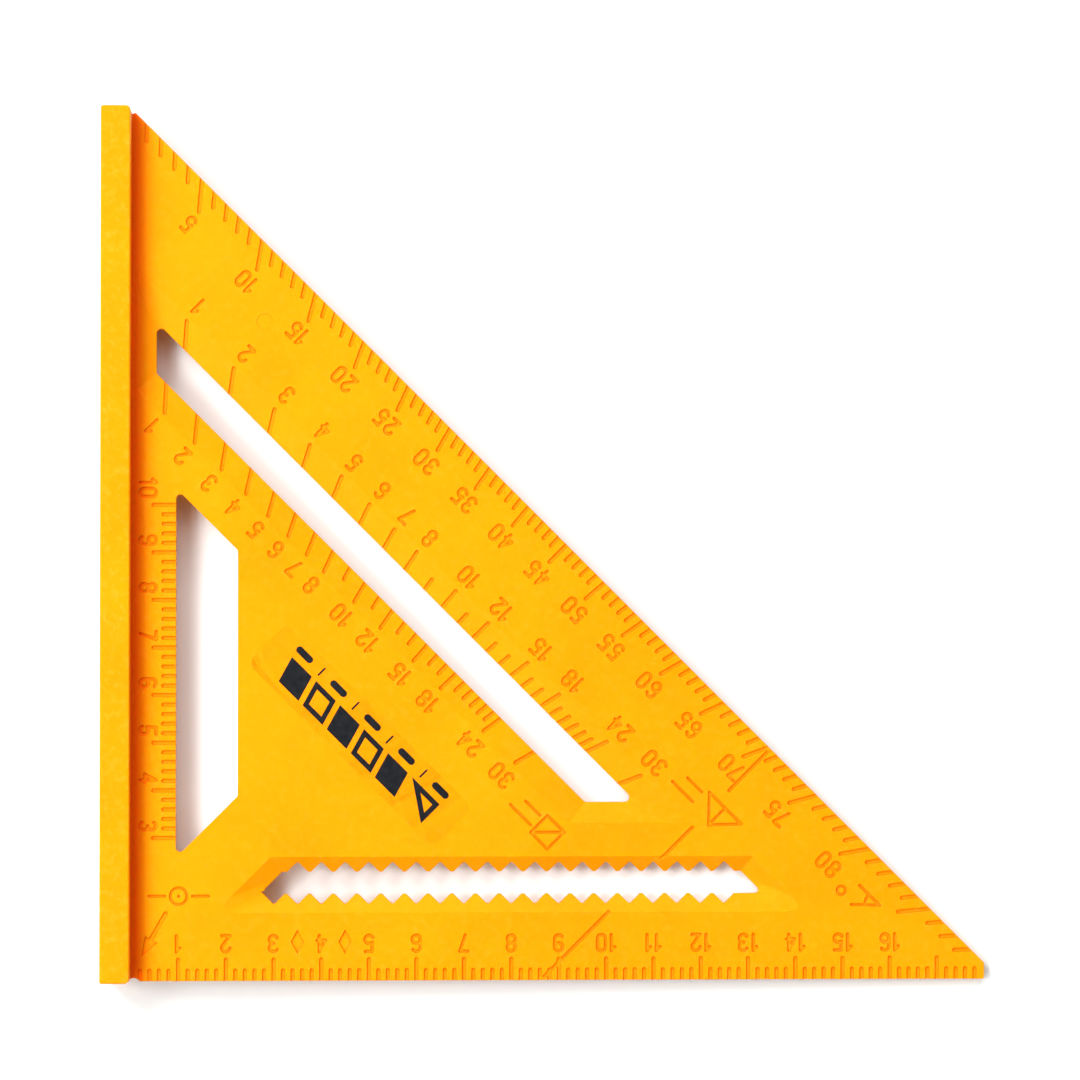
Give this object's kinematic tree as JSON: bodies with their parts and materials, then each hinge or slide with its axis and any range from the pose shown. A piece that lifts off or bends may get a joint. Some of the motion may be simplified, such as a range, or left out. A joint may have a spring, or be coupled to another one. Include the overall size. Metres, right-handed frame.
{
  "type": "speed square",
  "caption": "Flat right-triangle plastic marking square with a proud fence, engraved metric rulers, degree and rafter scales, hand slot, diagonal slot and serrated pencil slot.",
  "frame": {"origin": "middle of the lowest face of the whole square's box, as it lies flat with the printed face up", "axes": "+X from the fence to the tip along the ruler edge, +Y along the fence away from the pivot corner, +Z square to the blade, out of the printed face"},
  "size_m": [0.1862, 0.1834, 0.019],
  "materials": {
    "moulding": "moulded, finely grained yellow plastic",
    "label_film": "clear self-adhesive film",
    "label_print": "near-black ink under clear film"
  },
  "bodies": {
    "root": {"blade": "moulding", "fence": "moulding", "label_film": "label_film", "label_print": "label_print"}
  },
  "joints": []
}
